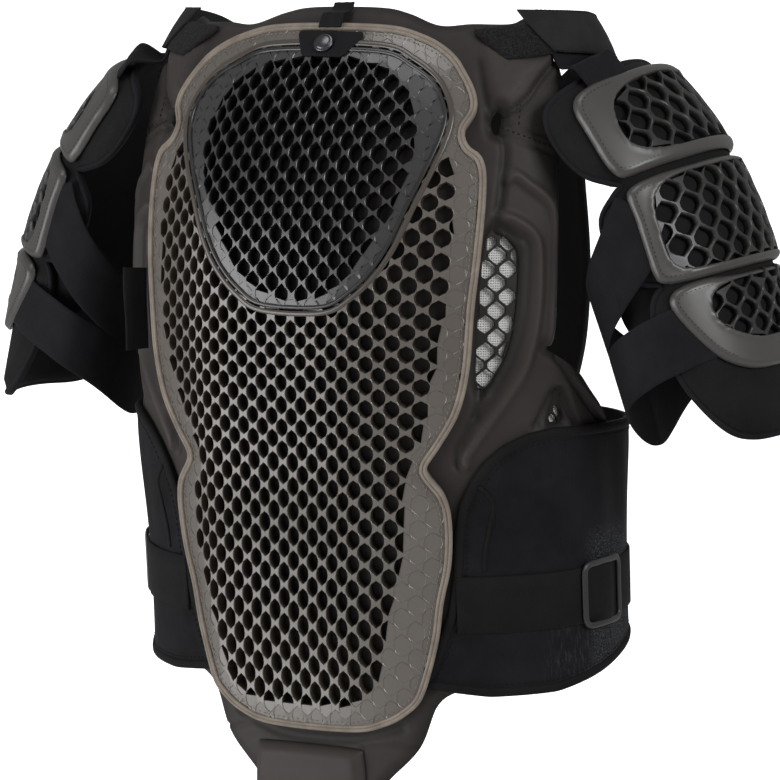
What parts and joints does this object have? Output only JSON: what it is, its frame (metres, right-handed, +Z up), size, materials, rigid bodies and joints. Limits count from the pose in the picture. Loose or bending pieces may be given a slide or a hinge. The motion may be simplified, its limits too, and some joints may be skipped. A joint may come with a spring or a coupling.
{
  "type": "chest protector",
  "caption": "Worn body armour vest with a pierced back plate, foam back panel, chest plate, kidney belt and hung arm guards, seen as worn.",
  "frame": {"origin": "middle of the shoulder line, where the shoulder straps hang on the wearer", "axes": "+Z up, +Y the way the wearer faces, +X to the wearer's right side, so the back plate faces -Y"},
  "size_m": [0.6044, 0.2752, 0.5521],
  "materials": {
    "moulded_foam": "matt brown-black fabric bonded to moulded foam",
    "smoked_plate": "smoky brown-grey moulded rubber plastic with a satin sheen",
    "black_plate": "black moulded plastic with a satin sheen",
    "binding": "stitched tan binding tape",
    "black_cloth": "woven black cloth",
    "dark_steel": "gunmetal press snap",
    "pale_mesh": "pale open mesh",
    "hook_tape": "black hook tape",
    "elastic": "black elastic band",
    "arm_foam": "black fabric over padding",
    "moulded_shell": "dark warm grey satin plastic",
    "belt_cloth": "black knitted belt fabric",
    "webbing": "black elastic webbing",
    "slider_plastic": "dark grey moulded plastic"
  },
  "bodies": {
    "root": {"back_foam": "moulded_foam", "lumbar_pad": "moulded_foam", "back_plate": "smoked_plate", "upper_plate": "black_plate", "plate_binding": "binding", "snap_patch": "black_cloth", "snap_button": "dark_steel", "hanging_loop": "black_cloth", "side_label": "black_cloth", "side_mesh_left": "pale_mesh", "side_mesh_right": "pale_mesh", "hook_patch_left": "hook_tape", "hook_patch_right": "hook_tape", "shoulder_strap_left": "black_cloth", "shoulder_strap_right": "black_cloth", "arm_hanger_left": "elastic", "arm_hanger_right": "elastic", "arm_pad_left": "arm_foam", "arm_pad_right": "arm_foam", "shoulder_cap_left": "moulded_shell", "shoulder_cap_right": "moulded_shell", "upper_shell_left": "moulded_shell", "upper_shell_right": "moulded_shell", "lower_shell_left": "moulded_shell", "lower_shell_right": "moulded_shell", "upper_arm_strap_left": "elastic", "upper_arm_strap_right": "elastic", "lower_arm_strap_left": "elastic", "lower_arm_strap_right": "elastic", "chest_foam": "moulded_foam", "chest_plate": "smoked_plate", "kidney_belt_left": "belt_cloth", "kidney_belt_right": "belt_cloth", "waist_strap_left": "webbing", "waist_strap_right": "webbing", "slider_buckle_left": "slider_plastic", "slider_buckle_right": "slider_plastic"}
  },
  "joints": []
}
